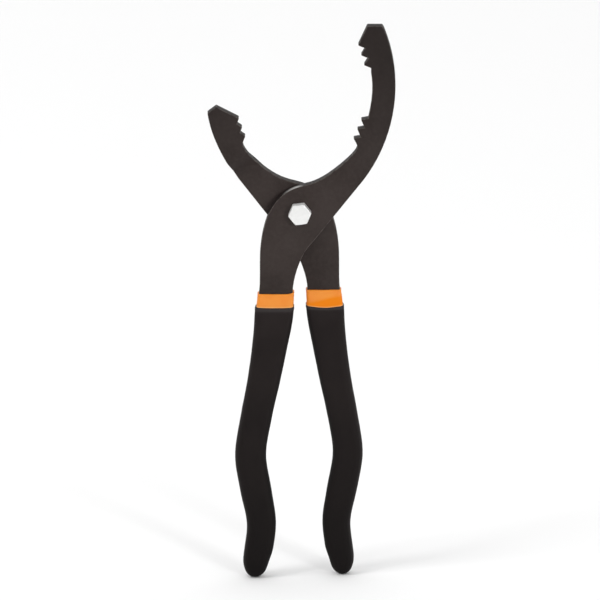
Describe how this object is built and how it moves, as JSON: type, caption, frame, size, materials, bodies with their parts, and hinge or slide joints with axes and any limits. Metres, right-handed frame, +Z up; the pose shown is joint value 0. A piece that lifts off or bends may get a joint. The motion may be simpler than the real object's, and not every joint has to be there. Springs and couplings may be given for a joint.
{
  "type": "oil filter wrench",
  "caption": "Pliers-type oil filter wrench: a long hook jaw and a short jaw with saw teeth, crossed on a bolt, with dipped handles.",
  "frame": {"origin": "middle of the whole outline in X and Y, on the surface that the two handle tips stand on", "axes": "+Z up the tool from the handle tips to the jaws, +Y through the tool from the bolt head's side to the nut's side, +X towards the long jaw"},
  "size_m": [0.119, 0.0268, 0.368],
  "materials": {
    "lever_steel": "black-brown phosphate, matt, lightly oiled",
    "bright_zinc": "bright zinc plate",
    "nylon": "natural nylon",
    "orange_dip": "satin dipped vinyl",
    "black_dip": "matt dipped vinyl"
  },
  "bodies": {
    "front_half": {"front_lever": "lever_steel", "pivot_bolt": "bright_zinc", "pivot_washer": "bright_zinc", "lock_nut": "bright_zinc", "nut_ring": "nylon", "front_inner_dip": "orange_dip", "front_outer_grip": "black_dip"},
    "back_half": {"back_lever": "lever_steel", "back_inner_dip": "orange_dip", "back_outer_grip": "black_dip"}
  },
  "joints": [
    {"name": "jaw_pivot", "type": "hinge", "parent": "front_half", "child": "back_half", "pos_m": [-0.00105, -0.00175, 0.2442], "axis": [0, -1, 0], "range_deg": [-6.5, 40]}
  ]
}
